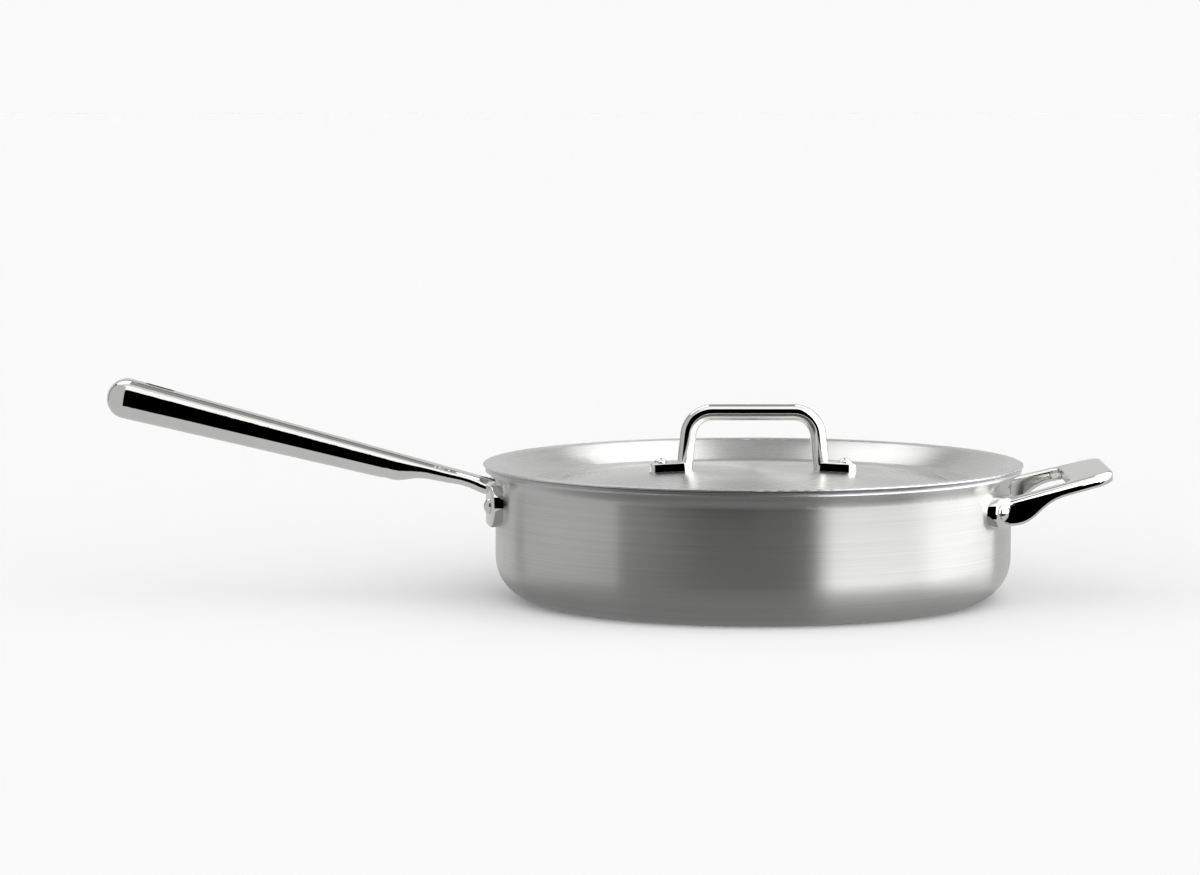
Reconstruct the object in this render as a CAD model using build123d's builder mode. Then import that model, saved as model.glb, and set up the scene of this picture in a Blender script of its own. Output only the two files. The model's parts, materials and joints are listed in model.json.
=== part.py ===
"""Saute pan with lid: clad stainless body, hollow long handle, helper loop handle, recessed lid.

Millimetres. +Z is up and the pan stands on z = 0. The origin is the middle of the base.
The long handle points to -X and the helper handle to +X.
"""

import os
from math import asin, cos, degrees, radians, sin, sqrt, tan

from build123d import *

os.makedirs("parts", exist_ok=True)

# One overrun serves every cut. The lid stays clear of the lip, welded and riveted pieces nearly touch.
overrun = 10.0
running_gap = 0.25
weld_fit = 0.05

# Pan body: its outer surface, then the layers of the clad sheet from outside to inside.
pan_radius = 133.0
base_corner_radius = 22.5
wall_top = 59.9
outer_skin_thickness = 0.5
core_thickness = 1.8
inner_skin_thickness = 0.5
lip_radius = 6.0
lip_angle = 55.0
lip_length = 3.4
lip_edge_round = 0.35

# Lid: a pressed sheet, a shallow dome inside a flat ring, a slope up to a flat rim.
lid_overhang = 1.0
lid_sheet = 1.0
lid_rim_width = 5.0
lid_slope_angle = 31.0
lid_shoulder_radius = 5.0
lid_hollow_radius = 6.0
lid_recess_depth = 10.0
lid_ring_width = 13.2
lid_dome_rise = 6.2
lid_dome_step = 0.8
lid_step_width = 1.4
lid_edge_round = 0.4

# Lid handle: one bent rod whose ends are pressed flat as feet.
grip_bar = 8.3
grip_height = 33.2
grip_leg_place = 36.0
grip_lean = 7.0
grip_bend = 12.5
grip_foot_overhang = 6.6
grip_foot_width = 11.0
grip_foot_thickness = 4.3
grip_foot_round = 1.1
grip_foot_draft = 9.0
lid_rivet_offset = 11.4
lid_rivet_shank = 4.8
lid_rivet_head = 7.4
lid_rivet_head_height = 2.6
lid_rivet_tail = 9.0
lid_rivet_tail_height = 1.6

# Rivets of both pan handles, with a round head outside and a low head inside.
rivet_shank = 6.0
rivet_head = 8.4
rivet_head_height = 2.8
rivet_tail = 12.0
rivet_tail_height = 2.0
rivet_drop = 10.9

# Long handle: its top is one straight line that rises from the wall.
handle_rise = 15.6
handle_root_rise = 1.3
handle_flange = 5.0
handle_lobe_radius = 10.8
handle_lobe_place = 24.5
handle_root_width = 26.0
handle_neck_width = 19.0
handle_neck_thickness = 7.1
shell_start = 57.0
shell_start_width = 20.5
shell_start_thickness = 14.3
grip_length = 137.4
shell_end_width = 25.0
shell_end_thickness = 20.6
shell_wall = 1.2
spigot_length = 14.0
section_power = 2.6
section_widest_share = 0.42
fork_length = 8.5
fork_width = 13.0
fork_depth = 7.2
hang_slot_setback = 15.0
hang_slot_length = 15.5
hang_slot_width = 6.0
hang_sleeve_wall = 0.8

# Helper handle: two feet, two arms that draw together, and a broad flat bar.
helper_foot = 4.3
helper_foot_radius = 7.9
helper_rivet_offset = 10.5
helper_rise = 14.5
helper_foot_half = 47.0
helper_end_half = 38.0
helper_reach = 49.8
helper_end_corner = 12.5
helper_bar_width = 21.0
helper_arm_width = 9.5
helper_loop_corner = 7.0
helper_end_thickness = 6.5
helper_taper_reach = 25.0
helper_curve_pull = 15.0
helper_edge_round = 1.8

sheet_thickness = outer_skin_thickness + core_thickness + inner_skin_thickness
inner_radius = pan_radius - sheet_thickness
handle_root_height = wall_top + handle_root_rise
rivet_height = handle_root_height - rivet_drop


def around(centre, radius, angle):
    """A point on a circle of a profile plane."""
    return (centre[0] + radius * cos(radians(angle)), centre[1] + radius * sin(radians(angle)))


def wall_ring(outside, bottom, top):
    """A ring that stands on the pan's outer wall."""
    with BuildPart() as ring:
        with BuildSketch(Plane.XY.offset(bottom)):
            Circle(outside)
            Circle(pan_radius, mode=Mode.SUBTRACT)
        extrude(amount=top - bottom)
    return ring.part


# Rivet places


def rivet_plane(side, place, radius):
    """A plane on the pan's axis that looks out through a rivet of one handle."""
    angle = asin(place / radius)
    return Plane(
        origin=(0, 0, rivet_height), x_dir=(0, 0, 1), z_dir=(side * cos(angle), sin(angle), 0)
    )


handle_face = pan_radius + handle_flange
helper_face = pan_radius + helper_foot
handle_rivet_planes = [rivet_plane(-1, way * handle_lobe_place, handle_face) for way in (-1, 1)]
helper_rivet_place = helper_foot_half + helper_rivet_offset
helper_rivet_planes = [rivet_plane(1, way * helper_rivet_place, helper_face) for way in (-1, 1)]


def drill(planes, diameter):
    """Cut a round hole along each plane's axis, both ways from its origin."""
    for plane in planes:
        with BuildSketch(plane) as hole:
            Circle(diameter / 2)
        extrude(hole.sketch, amount=handle_face + overrun, mode=Mode.SUBTRACT)


# Pan layers


def skin_points(depth):
    """The pan's profile at one depth below its outer surface, from the axis to the lip's end."""
    corner = (pan_radius - base_corner_radius, base_corner_radius)
    flare = (pan_radius + lip_radius, wall_top)
    flare_end = around(flare, lip_radius + depth, 180 - lip_angle)
    return [
        (0, depth),
        (corner[0], depth),
        around(corner, base_corner_radius - depth, -45),
        (pan_radius - depth, corner[1]),
        (pan_radius - depth, wall_top),
        around(flare, lip_radius + depth, 180 - lip_angle / 2),
        flare_end,
        around(flare_end, lip_length, 90 - lip_angle),
    ]


def layer_face(depth, thickness):
    """A closed profile between two depths of the pan's sheet."""
    outside = skin_points(depth)
    inside = skin_points(depth + thickness)
    with BuildSketch(Plane.XZ) as face:
        with BuildLine():
            for run in (outside, inside):
                Line(run[0], run[1])
                ThreePointArc(run[1], run[2], run[3])
                Line(run[3], run[4])
                ThreePointArc(run[4], run[5], run[6])
                Line(run[6], run[7])
            Line(outside[0], inside[0])
            Line(outside[7], inside[7])
        make_face()
    return face.sketch


def circles_of(radius):
    """The round edges of the part in hand that have the given radius."""
    return [e for e in edges().filter_by(GeomType.CIRCLE) if abs(e.radius - radius) < weld_fit]


all_rivet_planes = handle_rivet_planes + helper_rivet_planes

# Everything inside the pan's outer surface, which trims what is riveted to the wall.
with BuildPart() as pan_space:
    outside = skin_points(0)
    with BuildSketch(Plane.XZ):
        with BuildLine():
            Line(outside[0], outside[1])
            ThreePointArc(outside[1], outside[2], outside[3])
            Line(outside[3], outside[4])
            ThreePointArc(outside[4], outside[5], outside[6])
            Polyline(outside[6], outside[7], (0, outside[7][1]), outside[0])
        make_face()
    revolve(axis=Axis.Z)

with BuildPart() as pan_outer_skin:
    add(layer_face(0, outer_skin_thickness))
    revolve(axis=Axis.Z)
    fillet(circles_of(skin_points(0)[7][0]), lip_edge_round)
    drill(all_rivet_planes, rivet_shank)
pan_outer_skin.part.label = "pan_outer_skin"

with BuildPart() as pan_core:
    add(layer_face(outer_skin_thickness, core_thickness))
    revolve(axis=Axis.Z)
    drill(all_rivet_planes, rivet_shank)
pan_core.part.label = "pan_core"

with BuildPart() as pan_inner_skin:
    add(layer_face(outer_skin_thickness + core_thickness, inner_skin_thickness))
    revolve(axis=Axis.Z)
    fillet(circles_of(skin_points(sheet_thickness)[7][0]), lip_edge_round)
    drill(all_rivet_planes, rivet_shank)
pan_inner_skin.part.label = "pan_inner_skin"

# Lid

lid_rim_top = skin_points(sheet_thickness)[7][1] + running_gap + lid_sheet
lid_ring_top = lid_rim_top - lid_recess_depth
lid_radius = skin_points(0)[7][0] + lid_overhang

# The slope runs between two arcs: the shoulder at the rim and the hollow at the flat ring.
slope_rise = tan(radians(lid_slope_angle))
shoulder = (lid_radius - lid_rim_width, lid_rim_top - lid_shoulder_radius)
shoulder_end = around(shoulder, lid_shoulder_radius, 90 + lid_slope_angle)
hollow_end_height = lid_ring_top + lid_hollow_radius * (1 - cos(radians(lid_slope_angle)))
hollow_end = shoulder_end[0] - (shoulder_end[1] - hollow_end_height) / slope_rise
hollow = (
    hollow_end - lid_hollow_radius * sin(radians(lid_slope_angle)),
    lid_ring_top + lid_hollow_radius,
)

lid_dome_radius = hollow[0] - lid_ring_width - lid_step_width
dome_top = lid_ring_top + lid_dome_step + lid_dome_rise
dome_sphere = (lid_dome_radius**2 + lid_dome_rise**2) / (2 * lid_dome_rise)
dome_centre = dome_top - dome_sphere
dome_turn = degrees(asin(lid_dome_radius / dome_sphere))


def lid_points(depth):
    """The lid's profile at one depth below its top surface, from the middle to the rim."""
    slope = lid_slope_angle
    return [
        (0, dome_top - depth),
        around((0, dome_centre), dome_sphere - depth, 90 - dome_turn / 2),
        around((0, dome_centre), dome_sphere - depth, 90 - dome_turn),
        (lid_dome_radius + lid_step_width, lid_ring_top - depth),
        (hollow[0], lid_ring_top - depth),
        around(hollow, lid_hollow_radius + depth, -90 + slope / 2),
        around(hollow, lid_hollow_radius + depth, -90 + slope),
        around(shoulder, lid_shoulder_radius - depth, 90 + slope),
        around(shoulder, lid_shoulder_radius - depth, 90 + slope / 2),
        (shoulder[0], lid_rim_top - depth),
        (lid_radius, lid_rim_top - depth),
    ]


lid_rivet_place = grip_leg_place + lid_rivet_offset
rivet_lean = asin(lid_rivet_place / dome_sphere)
foot_seat = dome_centre + dome_sphere * cos(rivet_lean)
lid_rivet_planes = [
    Plane(
        origin=(side * lid_rivet_place, 0, foot_seat),
        x_dir=(side * cos(rivet_lean), 0, -sin(rivet_lean)),
        z_dir=(side * sin(rivet_lean), 0, cos(rivet_lean)),
    )
    for side in (-1, 1)
]


def drill_lid(diameter):
    """Cut the two shank holes of the lid's rivets."""
    for plane in lid_rivet_planes:
        with BuildSketch(plane) as hole:
            Circle(diameter / 2)
        extrude(hole.sketch, amount=grip_foot_thickness + overrun, both=True, mode=Mode.SUBTRACT)


with BuildPart() as lid:
    with BuildSketch(Plane.XZ):
        with BuildLine():
            for run in (lid_points(0), lid_points(lid_sheet)):
                ThreePointArc(run[0], run[1], run[2])
                Line(run[2], run[3])
                Line(run[3], run[4])
                ThreePointArc(run[4], run[5], run[6])
                Line(run[6], run[7])
                ThreePointArc(run[7], run[8], run[9])
                Line(run[9], run[10])
            Line(lid_points(0)[0], lid_points(lid_sheet)[0])
            Line(lid_points(0)[10], lid_points(lid_sheet)[10])
        make_face()
    revolve(axis=Axis.Z)
    fillet(circles_of(lid_radius), lid_edge_round)
    drill_lid(lid_rivet_shank)
lid.part.label = "lid"

# Lid handle

with BuildPart() as dome_ball:
    with Locations((0, 0, dome_centre)):
        Sphere(dome_sphere)

with BuildPart() as dome_sheet:
    with Locations((0, 0, dome_centre)):
        Sphere(dome_sphere)
        Sphere(dome_sphere - lid_sheet, mode=Mode.SUBTRACT)

grip_line = dome_top + grip_height - grip_bar / 2
grip_narrowing = (grip_line - foot_seat) * tan(radians(grip_lean))
foot_heel = lid_rivet_offset + grip_bar / 2

grip_feet = []
for plane in lid_rivet_planes:
    with BuildPart() as grip_foot:
        with BuildSketch(plane.offset(-grip_foot_thickness / 2)):
            with Locations(((grip_foot_overhang - foot_heel) / 2, 0)):
                Rectangle(grip_foot_overhang + foot_heel, grip_foot_width)
            fillet(vertices().sort_by(Axis.X)[:2], grip_bar / 2)
            fillet(vertices().sort_by(Axis.X)[-2:], grip_foot_width / 2 - weld_fit)
        extrude(amount=grip_foot_thickness * 3 / 2, taper=grip_foot_draft)
        fillet(faces().sort_by(Axis.Z)[-1].edges(), grip_foot_round)
    grip_feet.append(grip_foot.part)

with BuildPart() as lid_handle:
    with BuildLine(Plane.XZ) as grip_path:
        FilletPolyline(
            (-grip_leg_place, foot_seat - grip_bar / 2),
            (grip_narrowing - grip_leg_place, grip_line),
            (grip_leg_place - grip_narrowing, grip_line),
            (grip_leg_place, foot_seat - grip_bar / 2),
            radius=grip_bend,
        )
    with BuildSketch(Plane(origin=grip_path.line @ 0, z_dir=grip_path.line % 0)):
        Circle(grip_bar / 2)
    sweep()
    add(grip_feet)
    add(dome_ball.part, mode=Mode.SUBTRACT)
    drill_lid(lid_rivet_shank)
lid_handle.part.label = "lid_handle"

# Rivets


def head_face(plane, seat, way, diameter, height):
    """Half the profile of a rivet's head on the seat, a little deeper than the seat's curve."""
    ball = ((diameter / 2) ** 2 + height**2) / (2 * height)
    middle = seat + way * (height - ball)
    rim_turn = degrees(asin((seat - middle) * way / ball))
    deep = seat - way * height / 2
    profile_plane = Plane(origin=plane.origin, x_dir=plane.x_dir, z_dir=plane.x_dir.cross(plane.z_dir))
    with BuildSketch(profile_plane) as face:
        with BuildLine():
            Polyline((0, seat + way * height), (0, deep), (diameter / 2, deep), (diameter / 2, seat))
            ThreePointArc(
                (diameter / 2, seat),
                around((0, middle), ball, way * (90 + rim_turn) / 2),
                (0, seat + way * height),
            )
        make_face()
    return face.sketch


def make_rivet(plane, shank, tail_end, head_end):
    """A set rivet from its ends: the seat's distance, the head's diameter and height, the piece below."""
    axis = Axis(plane.origin, plane.z_dir)
    heads = []
    for way, (seat, (diameter, height), piece) in ((-1, tail_end), (1, head_end)):
        with BuildPart() as formed:
            revolve(head_face(plane, seat, way, diameter, height), axis=axis)
            add(piece, mode=Mode.SUBTRACT)
        heads.append(formed.part)
    tail_inside = tail_end[0] - tail_end[1][1] / 2
    head_inside = head_end[0] + head_end[1][1] / 2
    with BuildPart() as rivet:
        with BuildSketch(plane.offset(tail_inside)) as foot:
            Circle((shank - weld_fit) / 2)
        extrude(foot.sketch, amount=head_inside - tail_inside)
        add(heads)
    return rivet.part


with BuildPart() as solid_wall:
    with BuildSketch():
        Circle(pan_radius)
        Circle(inner_radius, mode=Mode.SUBTRACT)
    extrude(amount=rivet_height * 2)

rivets = {}
wall_tail_end = (inner_radius, (rivet_tail, rivet_tail_height), solid_wall.part)
for handle, planes, face in (
    ("handle", handle_rivet_planes, handle_face),
    ("helper", helper_rivet_planes, helper_face),
):
    wall_head_end = (face, (rivet_head, rivet_head_height), wall_ring(face, 0, rivet_height * 2))
    for place, plane in zip(("front", "back"), planes):
        rivets[f"{handle}_rivet_{place}"] = make_rivet(plane, rivet_shank, wall_tail_end, wall_head_end)

rivets["lid_rivet_left"] = make_rivet(
    lid_rivet_planes[0],
    lid_rivet_shank,
    (-lid_sheet, (lid_rivet_tail, lid_rivet_tail_height), dome_sheet.part),
    (grip_foot_thickness, (lid_rivet_head, lid_rivet_head_height), grip_feet[0]),
)
rivets["lid_rivet_right"] = mirror(rivets["lid_rivet_left"], about=Plane.YZ)

# Long handle

rise_cos = cos(radians(handle_rise))
rise_sin = sin(radians(handle_rise))
shell_end = shell_start + grip_length


def handle_plane(along, drop=0):
    """A plane square to the long handle, on its straight top line or below it."""
    return Plane(
        origin=(
            -pan_radius - along * rise_cos - drop * rise_sin,
            0,
            handle_root_height + along * rise_sin - drop * rise_cos,
        ),
        x_dir=(0, -1, 0),
        z_dir=(-rise_cos, 0, rise_sin),
    )


def section_points(width, thickness):
    """A rounded outline whose top touches the plane's origin, widest a little below its middle."""
    steps = 28
    power = 2 / section_power
    middle = -thickness * (1 - section_widest_share)
    points = []
    for step in range(steps):
        across = cos(radians(360 * step / steps))
        upward = sin(radians(360 * step / steps))
        half = thickness * ((1 - section_widest_share) if upward > 0 else section_widest_share)
        side = 1 if across > 0 else -1
        way = 1 if upward > 0 else -1
        points.append((side * width / 2 * abs(across) ** power, middle + way * half * abs(upward) ** power))
    return points


def handle_section(along, width, thickness, drop=0):
    """One cross-section of the long handle."""
    with BuildSketch(handle_plane(along, drop)) as section:
        with BuildLine():
            Spline(section_points(width, thickness), periodic=True)
        make_face()
    return section.sketch


tip_turns = (0, 14, 28, 42, 56, 69, 80, 86)


def grip_sections(inset):
    """The grip's straight taper and its round tip, at the surface or inset by a wall."""
    start = (shell_start_width - 2 * inset, shell_start_thickness - 2 * inset)
    end = (shell_end_width - 2 * inset, shell_end_thickness - 2 * inset)
    taper = [
        handle_section(shell_start, *start, inset),
        handle_section(shell_end, *end, inset),
    ]
    tip = []
    for turn in tip_turns:
        shrink = cos(radians(turn))
        along = shell_end + end[1] / 2 * sin(radians(turn))
        drop = inset + end[1] * (1 - shrink) / 2
        tip.append(handle_section(along, end[0] * shrink, end[1] * shrink, drop))
    return taper, tip


def hang_slot(length, width):
    """The hanging slot's outline, square to the handle's top."""
    station = handle_plane(shell_end - hang_slot_setback)
    with BuildSketch(Plane(origin=station.origin, x_dir=station.z_dir, z_dir=station.y_dir)) as slot:
        SlotOverall(length, width)
    return slot.sketch


slot_reach = shell_end_thickness + overrun
sleeve_length = hang_slot_length + 2 * hang_sleeve_wall
sleeve_width = hang_slot_width + 2 * hang_sleeve_wall

with BuildPart() as grip_outline:
    taper, tip = grip_sections(0)
    loft(taper, ruled=True)
    loft(tip)

with BuildPart() as grip_hollow:
    taper, tip = grip_sections(shell_wall)
    loft(taper, ruled=True)
    loft(tip)

with BuildPart() as handle_shell:
    add(grip_outline.part)
    add(grip_hollow.part, mode=Mode.SUBTRACT)
    extrude(hang_slot(sleeve_length, sleeve_width), amount=slot_reach, both=True, mode=Mode.SUBTRACT)
handle_shell.part.label = "handle_shell"

with BuildPart() as hang_hole_sleeve:
    outside = hang_slot(sleeve_length - weld_fit, sleeve_width - weld_fit)
    extrude(outside, amount=slot_reach, both=True)
    inside = hang_slot(hang_slot_length, hang_slot_width)
    extrude(inside, amount=slot_reach, both=True, mode=Mode.SUBTRACT)
    add(grip_outline.part, mode=Mode.INTERSECT)
hang_hole_sleeve.part.label = "hang_hole_sleeve"

# Neck and flange. Each share pair is a place along the neck and how far it has swollen to the shell.
neck_shares = ((0.2, 0.02), (0.42, 0.09), (0.6, 0.22), (0.68, 0.35), (0.78, 0.66), (0.88, 0.92), (1.0, 1.0))
neck_sections = [
    handle_section(-overrun, handle_root_width, handle_neck_thickness),
    handle_section(0, handle_root_width, handle_neck_thickness),
]
for along_share, swell_share in neck_shares:
    neck_sections.append(
        handle_section(
            shell_start * along_share,
            handle_neck_width + (shell_start_width - handle_neck_width) * swell_share,
            handle_neck_thickness + (shell_start_thickness - handle_neck_thickness) * swell_share,
        )
    )

spigot_inset = shell_wall + weld_fit
spigot_share = spigot_length / grip_length
spigot_sections = [
    handle_section(
        shell_start + spigot_length * reach,
        shell_start_width + (shell_end_width - shell_start_width) * spigot_share * reach - 2 * spigot_inset,
        shell_start_thickness
        + (shell_end_thickness - shell_start_thickness) * spigot_share * reach
        - 2 * spigot_inset,
        spigot_inset,
    )
    for reach in (0, 1)
]

with BuildPart() as handle_flange_plate:
    with BuildSketch(Plane.YZ):
        with Locations((-handle_lobe_place, rivet_height), (handle_lobe_place, rivet_height)):
            Circle(handle_lobe_radius)
        with Locations((0, handle_root_height - handle_neck_thickness / 2)):
            Rectangle(handle_root_width, handle_neck_thickness)
        make_hull()
    extrude(amount=-handle_face - overrun)
    add(wall_ring(handle_face, 0, handle_root_height + overrun), mode=Mode.INTERSECT)
    outer = faces().filter_by(GeomType.CYLINDER).filter_by(lambda f: f.radius > handle_face - weld_fit)
    fillet(outer.edges(), handle_flange / 4)

with BuildPart() as handle_neck:
    loft(neck_sections)
    add(handle_flange_plate.part)
    add(pan_space.part, mode=Mode.SUBTRACT)
    with BuildSketch(Plane.XY.offset(handle_root_height - fork_depth)):
        with BuildLine():
            fork_mouth = fork_length - pan_radius
            Polyline(
                (-pan_radius - fork_length, 0),
                (fork_mouth, -fork_width),
                (fork_mouth, fork_width),
                close=True,
            )
        make_face()
    extrude(amount=handle_root_height, mode=Mode.SUBTRACT)
    loft(spigot_sections, ruled=True)
    drill(handle_rivet_planes, rivet_shank)
handle_neck.part.label = "handle_neck"

# Helper handle

helper_slope = tan(radians(helper_rise))
helper_end = pan_radius + helper_reach
helper_taper_end = pan_radius + helper_taper_reach
helper_top_at_foot = rivet_height + helper_foot_radius
helper_root = sqrt((pan_radius - overrun) ** 2 - helper_rivet_place**2)
helper_root_top = helper_top_at_foot - (helper_face - helper_root) * helper_slope
helper_end_top = helper_top_at_foot + (helper_end - helper_face) * helper_slope
helper_end_low = helper_end_top - helper_end_thickness
helper_foot_low = rivet_height - helper_foot_radius
taper_low = helper_end_low - (helper_end - helper_taper_end) * helper_slope
narrowing = (helper_foot_half - helper_end_half) / helper_reach
root_half = helper_foot_half + (pan_radius - helper_root) * narrowing
loop_end = helper_end - helper_bar_width
loop_half = helper_foot_half - (loop_end - pan_radius) * narrowing - helper_arm_width
loop_root_half = root_half - helper_arm_width

with BuildPart() as helper_plan:
    with BuildSketch():
        with BuildLine():
            FilletPolyline(
                (helper_root, -root_half),
                (helper_end, -helper_end_half),
                (helper_end, helper_end_half),
                (helper_root, root_half),
                radius=helper_end_corner,
            )
            Line((helper_root, root_half), (helper_root, -root_half))
        make_face()
        with BuildLine():
            FilletPolyline(
                (helper_root, -loop_root_half),
                (loop_end, -loop_half),
                (loop_end, loop_half),
                (helper_root, loop_root_half),
                radius=helper_loop_corner,
            )
            Line((helper_root, loop_root_half), (helper_root, -loop_root_half))
        make_face(mode=Mode.SUBTRACT)
    extrude(amount=helper_end_top + overrun)

with BuildPart() as helper_feet:
    for way in (-1, 1):
        with BuildSketch(Plane.YZ):
            inner_foot = way * (helper_foot_half - helper_arm_width / 2)
            with Locations((way * helper_rivet_place, rivet_height), (inner_foot, rivet_height)):
                Circle(helper_foot_radius)
            make_hull()
        extrude(amount=helper_face + overrun)
    add(wall_ring(helper_face, 0, helper_top_at_foot + overrun), mode=Mode.INTERSECT)
    outer = faces().filter_by(GeomType.CYLINDER).filter_by(lambda f: f.radius > helper_face - weld_fit)
    fillet(outer.edges(), helper_foot / 4)

with BuildPart() as helper_handle:
    with BuildSketch(Plane.XZ):
        with BuildLine():
            foot_out = (sqrt(helper_face**2 - helper_foot_half**2), helper_foot_low)
            Polyline(
                foot_out,
                (helper_root, helper_foot_low),
                (helper_root, helper_root_top),
                (helper_end, helper_end_top),
                (helper_end, helper_end_low),
                (helper_taper_end, taper_low),
            )
            Bezier(
                (helper_taper_end, taper_low),
                (helper_taper_end - helper_curve_pull, taper_low - helper_curve_pull * helper_slope),
                (foot_out[0] + helper_curve_pull, helper_foot_low),
                foot_out,
            )
        make_face()
    extrude(amount=helper_rivet_place + overrun, both=True)
    add(helper_plan.part, mode=Mode.INTERSECT)
    arm_roots = edges().filter_by_position(Axis.X, helper_root - weld_fit, helper_root + weld_fit)
    fillet(edges() - arm_roots, helper_edge_round)
    add(helper_feet.part)
    add(pan_space.part, mode=Mode.SUBTRACT)
    drill(helper_rivet_planes, rivet_shank)
helper_handle.part.label = "helper_handle"

for piece in (
    pan_outer_skin,
    pan_core,
    pan_inner_skin,
    lid,
    lid_handle,
    handle_shell,
    hang_hole_sleeve,
    handle_neck,
    helper_handle,
):
    export_step(piece.part, f"parts/{piece.part.label}.step")
for name, solid in rivets.items():
    solid.label = name
    export_step(solid, f"parts/{name}.step")
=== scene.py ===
import json
import math

import bpy
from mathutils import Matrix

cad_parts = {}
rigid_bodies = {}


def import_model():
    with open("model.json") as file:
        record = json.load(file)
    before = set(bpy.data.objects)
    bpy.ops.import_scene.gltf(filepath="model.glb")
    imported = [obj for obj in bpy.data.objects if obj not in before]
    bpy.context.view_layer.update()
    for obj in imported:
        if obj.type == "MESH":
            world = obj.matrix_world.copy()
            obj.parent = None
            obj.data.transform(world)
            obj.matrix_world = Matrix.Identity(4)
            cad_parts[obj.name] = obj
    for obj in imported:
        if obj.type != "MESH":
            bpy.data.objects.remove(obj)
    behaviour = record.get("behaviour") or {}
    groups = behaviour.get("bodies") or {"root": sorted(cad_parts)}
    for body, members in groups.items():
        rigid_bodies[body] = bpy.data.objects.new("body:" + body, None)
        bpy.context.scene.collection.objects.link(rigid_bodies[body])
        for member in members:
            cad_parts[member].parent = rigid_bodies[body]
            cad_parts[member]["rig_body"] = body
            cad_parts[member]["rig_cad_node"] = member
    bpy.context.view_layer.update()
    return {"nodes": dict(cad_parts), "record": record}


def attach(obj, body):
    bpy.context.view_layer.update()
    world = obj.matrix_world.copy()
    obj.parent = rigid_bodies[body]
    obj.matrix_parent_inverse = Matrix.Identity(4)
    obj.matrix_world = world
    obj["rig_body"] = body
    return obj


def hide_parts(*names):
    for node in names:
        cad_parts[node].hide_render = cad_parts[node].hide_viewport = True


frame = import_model()
nodes = frame["nodes"]
mm = 0.001
quarterTurn = 0.25
# most values of a noise lie between these two
noiseLow = 0.3
noiseHigh = 0.7

print("stage: frame loaded")


def linear(hexColour):
    # sRGB hex to the linear values that a shader reads
    channels = [int(hexColour[i:i + 2], 16) / 255 for i in (1, 3, 5)]
    return [c / 12.92 if c <= 0.04045 else ((c + 0.055) / 1.055) ** 2.4 for c in channels] + [1]


def addNode(tree, kind, values=None, links=None, **settings):
    # one node with its settings, socket values and incoming links
    node = tree.nodes.new(kind)
    for name, value in settings.items():
        setattr(node, name, value)
    for name, value in (values or {}).items():
        node.inputs[name].default_value = value
    for name, socket in (links or {}).items():
        tree.links.new(socket, node.inputs[name])
    return node


def newMaterial(name):
    material = bpy.data.materials.new(name)
    material.use_nodes = True
    material.node_tree.nodes.clear()
    return material, material.node_tree


def showSurface(tree, shader):
    addNode(tree, "ShaderNodeOutputMaterial", links={"Surface": shader.outputs[0]})


# ---- steel and aluminium

def brushedSteel(name, look):
    # stainless sheet turned against an abrasive belt, with fine rings round the pan's axis: a reflection stays
    # sharp along a ring and smears across it. The rolled aluminium core takes the same rings, paler and duller.
    material, tree = newMaterial(name)
    place = addNode(tree, "ShaderNodeTexCoord").outputs["Object"]
    parts = addNode(tree, "ShaderNodeSeparateXYZ", links={"Vector": place})
    flat = addNode(tree, "ShaderNodeCombineXYZ", links={"X": parts.outputs["X"], "Y": parts.outputs["Y"]})
    radius = addNode(tree, "ShaderNodeVectorMath", links={0: flat.outputs[0]}, operation="LENGTH")
    # radius plus height grows steadily across the brush lines on the wall, the corner and the flats alike
    across = addNode(
        tree, "ShaderNodeMath", links={0: radius.outputs["Value"], 1: parts.outputs["Z"]}, operation="ADD"
    )
    brushed = addNode(
        tree,
        "ShaderNodeCombineXYZ",
        links={"X": parts.outputs["X"], "Y": parts.outputs["Y"], "Z": across.outputs[0]},
    )

    def lines(width, length, detail):
        # streaks of one width and length, both in millimetres
        stretched = addNode(
            tree,
            "ShaderNodeMapping",
            values={"Scale": (1 / (length * mm), 1 / (length * mm), 1 / (width * mm))},
            links={"Vector": brushed.outputs[0]},
        )
        return addNode(
            tree,
            "ShaderNodeTexNoise",
            values={"Scale": 1.0, "Detail": detail, "Roughness": look["lineRoughness"]},
            links={"Vector": stretched.outputs[0]},
        ).outputs["Fac"]

    fine = lines(look["lineWidth"], look["lineLength"], look["lineDetail"])
    broad = lines(look["bandWidth"], look["bandLength"], look["bandDetail"])
    mixed = addNode(
        tree, "ShaderNodeMix", values={0: look["bandShare"]}, links={2: fine, 3: broad}, data_type="FLOAT"
    ).outputs[0]
    roughness = addNode(
        tree,
        "ShaderNodeMapRange",
        values={
            "From Min": noiseLow,
            "From Max": noiseHigh,
            "To Min": look["roughness"] - look["roughnessSpread"],
            "To Max": look["roughness"] + look["roughnessSpread"],
        },
        links={"Value": mixed},
    )
    lightness = addNode(
        tree,
        "ShaderNodeMapRange",
        values={"From Min": noiseLow, "From Max": noiseHigh},
        links={"Value": mixed},
    )
    tint = addNode(
        tree,
        "ShaderNodeMix",
        values={6: linear(look["dark"]), 7: linear(look["light"])},
        links={0: lightness.outputs[0]},
        data_type="RGBA",
    )
    scratches = addNode(
        tree,
        "ShaderNodeBump",
        values={"Strength": look["scratchStrength"], "Distance": look["scratchDepth"] * mm},
        links={"Height": fine},
    )
    along = addNode(tree, "ShaderNodeTangent", direction_type="RADIAL", axis="Z")
    steel = addNode(
        tree,
        "ShaderNodeBsdfPrincipled",
        values={"Metallic": 1.0, "Anisotropic": look["smear"], "Anisotropic Rotation": quarterTurn},
        links={
            "Base Color": tint.outputs[2],
            "Roughness": roughness.outputs[0],
            "Normal": scratches.outputs[0],
            "Tangent": along.outputs[0],
        },
    )
    showSurface(tree, steel)
    return material


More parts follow.
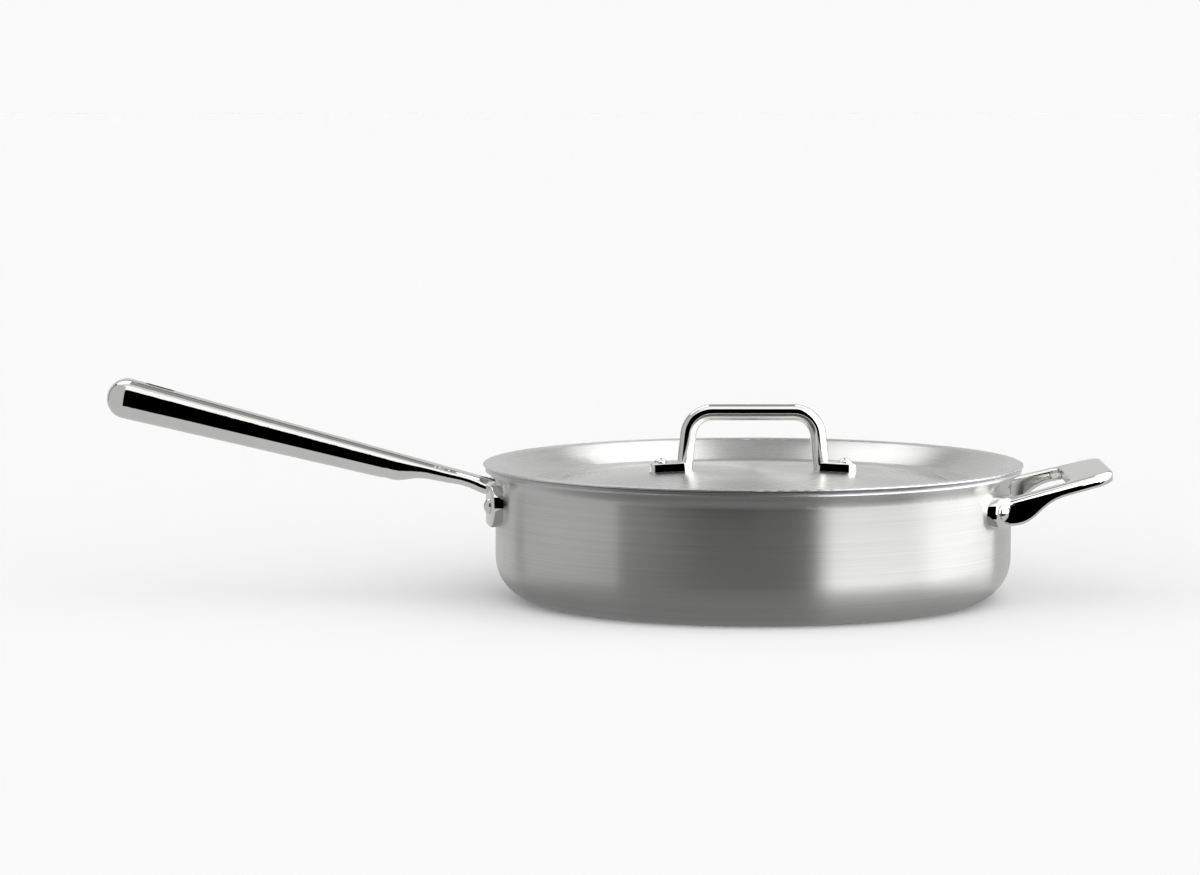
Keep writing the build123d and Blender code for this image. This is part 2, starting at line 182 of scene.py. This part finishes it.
def polishedSteel(name, look):
    # cast and forged stainless buffed to a mirror: crisp black and white bands, with a slight orange peel
    # and a faint wiping haze that soften them here and there
    material, tree = newMaterial(name)
    place = addNode(tree, "ShaderNodeTexCoord").outputs["Object"]
    haze = addNode(
        tree,
        "ShaderNodeTexNoise",
        values={
            "Scale": 1 / (look["hazeSize"] * mm),
            "Detail": look["hazeDetail"],
            "Roughness": look["hazeRoughness"],
        },
        links={"Vector": place},
    )
    peel = addNode(
        tree,
        "ShaderNodeTexNoise",
        values={"Scale": 1 / (look["peelSize"] * mm), "Detail": look["peelDetail"]},
        links={"Vector": place},
    )
    roughness = addNode(
        tree,
        "ShaderNodeMapRange",
        values={
            "From Min": look["hazeStart"],
            "From Max": noiseHigh,
            "To Min": look["mirror"],
            "To Max": look["hazed"],
        },
        links={"Value": haze.outputs["Fac"]},
    )
    tint = addNode(
        tree,
        "ShaderNodeMix",
        values={6: linear(look["light"]), 7: linear(look["dark"])},
        links={0: haze.outputs["Fac"]},
        data_type="RGBA",
    )
    ripple = addNode(
        tree,
        "ShaderNodeBump",
        values={"Strength": look["peelStrength"], "Distance": look["peelDepth"] * mm},
        links={"Height": peel.outputs["Fac"]},
    )
    steel = addNode(
        tree,
        "ShaderNodeBsdfPrincipled",
        values={"Metallic": 1.0},
        links={
            "Base Color": tint.outputs[2],
            "Roughness": roughness.outputs[0],
            "Normal": ripple.outputs[0],
        },
    )
    showSurface(tree, steel)
    return material


wallLook = {
    "dark": "#C6C6C5",
    "light": "#DADAD9",
    "roughness": 0.32,
    "roughnessSpread": 0.012,
    "smear": 1.0,
    "lineWidth": 0.22,
    "lineLength": 120.0,
    "lineDetail": 3.0,
    "lineRoughness": 0.6,
    "bandWidth": 2.5,
    "bandLength": 250.0,
    "bandDetail": 2.0,
    "bandShare": 0.25,
    "scratchStrength": 0.04,
    "scratchDepth": 0.01,
}
lidLook = dict(
    wallLook,
    dark="#D0D0CF",
    light="#D6D6D5",
    roughness=0.27,
    smear=0.8,
    bandWidth=5.0,
    scratchStrength=0.02,
)
insideLook = dict(wallLook, roughness=0.34)
polishLook = {
    "dark": "#D6D6D4",
    "light": "#E6E6E4",
    "mirror": 0.02,
    "hazed": 0.07,
    "hazeStart": 0.35,
    "hazeSize": 25.0,
    "hazeDetail": 4.0,
    "hazeRoughness": 0.55,
    "peelSize": 6.0,
    "peelDetail": 1.0,
    "peelStrength": 0.05,
    "peelDepth": 0.01,
}
coreLook = dict(wallLook, dark="#D4D6D8", light="#E0E2E4", roughness=0.36, smear=0.5)

finishes = {
    "brushed_outside": brushedSteel("brushedStainlessWall", wallLook),
    "brushed_inside": brushedSteel("brushedStainlessInside", insideLook),
    "brushed_lid": brushedSteel("brushedStainlessLid", lidLook),
    "aluminium_core": brushedSteel("rolledAluminiumCore", coreLook),
    "polished_steel": polishedSteel("mirrorPolishedStainless", polishLook),
}
print("stage: materials made")


# ---- pieces

def onlySelect(piece):
    bpy.ops.object.select_all(action="DESELECT")
    piece.select_set(True)
    bpy.context.view_layer.objects.active = piece


pieceLook = {
    "mergeReach": 0.002,
    "sharpAngle": 25,
}


def smoothPiece(node, slotName, bodyName):
    # a joined, smooth copy of a node, so that a mirror finish shows no facets
    piece = nodes[node].copy()
    piece.data = nodes[node].data.copy()
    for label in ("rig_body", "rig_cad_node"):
        if label in piece:
            del piece[label]
    piece.parent = None
    piece.name = node + "_shown"
    bpy.context.scene.collection.objects.link(piece)
    onlySelect(piece)
    bpy.ops.object.mode_set(mode="EDIT")
    bpy.ops.mesh.select_all(action="SELECT")
    bpy.ops.mesh.customdata_custom_splitnormals_clear()
    bpy.ops.mesh.remove_doubles(threshold=pieceLook["mergeReach"] * mm)
    bpy.ops.object.mode_set(mode="OBJECT")
    bpy.ops.object.shade_smooth_by_angle(angle=math.radians(pieceLook["sharpAngle"]))
    piece.data.materials.clear()
    piece.data.materials.append(finishes[slotName])
    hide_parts(node)
    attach(piece, bodyName)


slotOf = {entry["node"]: entry["material_slot"] for entry in frame["record"]["subparts"]}
for bodyName, members in frame["record"]["behaviour"]["bodies"].items():
    for node in members:
        smoothPiece(node, slotOf[node], bodyName)
print("stage: pieces placed")


# ---- studio

studioLook = {
    "paper": "#FFFFFF",
    "daylight": "#FAFAFA",
    "paperReach": 20.0,
    "dayStrength": 1.0,
    "dimShare": 0.3,
    "shortestFade": 0.001,
}


def glowing(name, strength, fade):
    # glow of a softbox front or a paper stand-in, growing from dim to full over the first share of its length
    material, tree = newMaterial(name)
    place = addNode(tree, "ShaderNodeTexCoord").outputs["Object"]
    along = addNode(tree, "ShaderNodeSeparateXYZ", links={"Vector": place}).outputs["X"]
    panelStart = -1 / 2
    grown = addNode(
        tree,
        "ShaderNodeMapRange",
        values={
            "From Min": panelStart,
            "From Max": panelStart + max(fade, studioLook["shortestFade"]),
            "To Min": strength * studioLook["dimShare"],
            "To Max": strength,
        },
        links={"Value": along},
        interpolation_type="SMOOTHSTEP",
    )
    glow = addNode(
        tree,
        "ShaderNodeEmission",
        values={"Color": (1, 1, 1, 1)},
        links={"Strength": grown.outputs[0]},
    )
    showSurface(tree, glow)
    return material


def makeFloor():
    material, tree = newMaterial("paleSeamlessPaper")
    paper = addNode(
        tree, "ShaderNodeBsdfDiffuse", values={"Color": linear(studioLook["paper"]), "Roughness": 1.0}
    )
    showSurface(tree, paper)
    bpy.ops.mesh.primitive_plane_add(size=studioLook["paperReach"], location=(0, 0, 0))
    floor = bpy.context.active_object
    floor.name = "floor"
    floor.data.materials.append(material)
    floor.visible_glossy = False


# a standing panel goes from one place on the floor plan to another, a flat one lies or hangs level
standingPanels = {
    "rightBox": {
        "start": (0.4, -0.86),
        "end": (0.8, 0.55),
        "low": 0.0,
        "high": 1.25,
        "glow": 3.0,
        "fade": 0.12,
    },
    "leftCard": {
        "start": (-0.39, -0.27),
        "end": (-1.0, 0.55),
        "low": 0.0,
        "high": 1.0,
        "glow": 0.6,
        "fade": 0,
    },
    "rearWall": {
        "start": (-2.0, 1.7),
        "end": (2.0, 1.7),
        "low": 0.0,
        "high": 1.3,
        "glow": 0.66,
        "fade": 0,
    },
}
# the steel doesn't mirror the floor: three level panels stand in for its paper, darker where the pan shades it
flatPanels = {
    "paperLeft": {"at": (-1.325, 0.64), "size": (2.35, 2.12), "height": -0.0005, "glow": 0.62},
    "paperRight": {"at": (1.315, 0.79), "size": (2.37, 1.82), "height": -0.0005, "glow": 0.62},
    # painted shade: a dim glowing panel stands in, in the steel's reflections, for the paper in the pan's
    # shadow
    "shadedPaper": {"at": (-0.01, 0.64), "size": (0.28, 2.12), "height": -0.0005, "glow": 0.28},
    "frontTop": {"at": (0.0, -0.48), "size": (3.0, 0.8), "height": 1.2, "glow": 1.3},
    "overheadTop": {"at": (0.0, 0.09), "size": (3.0, 0.34), "height": 1.2, "glow": 0.85},
    "rearTopMiddle": {"at": (0.0, 0.75), "size": (0.28, 0.98), "height": 1.2, "glow": 0.35},
    "rearTopLeft": {"at": (-0.72, 0.75), "size": (1.16, 0.98), "height": 1.2, "glow": 1.9},
    "rearTopRight": {"at": (0.72, 0.75), "size": (1.16, 0.98), "height": 1.2, "glow": 1.9},
}


def addPanel(name, place, turn, size, glow, fade):
    # the steel mirrors it; the floor and the camera don't see it
    bpy.ops.object.select_all(action="DESELECT")
    bpy.ops.mesh.primitive_plane_add(size=1, location=place, rotation=turn)
    card = bpy.context.active_object
    card.name = name
    card.scale = (size[0], size[1], 1)
    card.data.materials.append(glowing(name + "Glow", glow, fade))
    card.visible_camera = False
    card.visible_diffuse = False
    card.visible_shadow = False


def makePanels():
    for name, panel in standingPanels.items():
        (x0, y0), (x1, y1) = panel["start"], panel["end"]
        place = ((x0 + x1) / 2, (y0 + y1) / 2, (panel["low"] + panel["high"]) / 2)
        turn = (math.pi / 2, 0, math.atan2(y1 - y0, x1 - x0))
        size = (math.hypot(x1 - x0, y1 - y0), panel["high"] - panel["low"])
        addPanel(name, place, turn, size, panel["glow"], panel["fade"])
    for name, panel in flatPanels.items():
        addPanel(name, (*panel["at"], panel["height"]), (0, 0, 0), panel["size"], panel["glow"], 0)


def makeDaylight():
    world = bpy.data.worlds.new("evenPaleStudio")
    bpy.context.scene.world = world
    world.use_nodes = True
    world.node_tree.nodes.clear()
    glow = addNode(
        world.node_tree,
        "ShaderNodeBackground",
        values={"Color": linear(studioLook["daylight"]), "Strength": studioLook["dayStrength"]},
    )
    addNode(world.node_tree, "ShaderNodeOutputWorld", links={"Surface": glow.outputs[0]})
    world.cycles_visibility.glossy = False


cameraLook = {
    "at": (-79.05 * mm, -2445.54 * mm, 311.5 * mm),
    "tilt": 5.332,
    "lens": 142.72,
    "sensor": 36.0,
}


def makeCamera():
    data = bpy.data.cameras.new("photoView")
    data.lens = cameraLook["lens"]
    data.sensor_width = cameraLook["sensor"]
    camera = bpy.data.objects.new("photoView", data)
    camera.location = cameraLook["at"]
    camera.rotation_euler = (math.radians(90 - cameraLook["tilt"]), 0, 0)
    bpy.context.scene.collection.objects.link(camera)
    bpy.context.scene.camera = camera


makeFloor()
makePanels()
makeDaylight()
makeCamera()
bpy.context.scene.view_settings.view_transform = "Standard"
print("stage: studio and camera made")
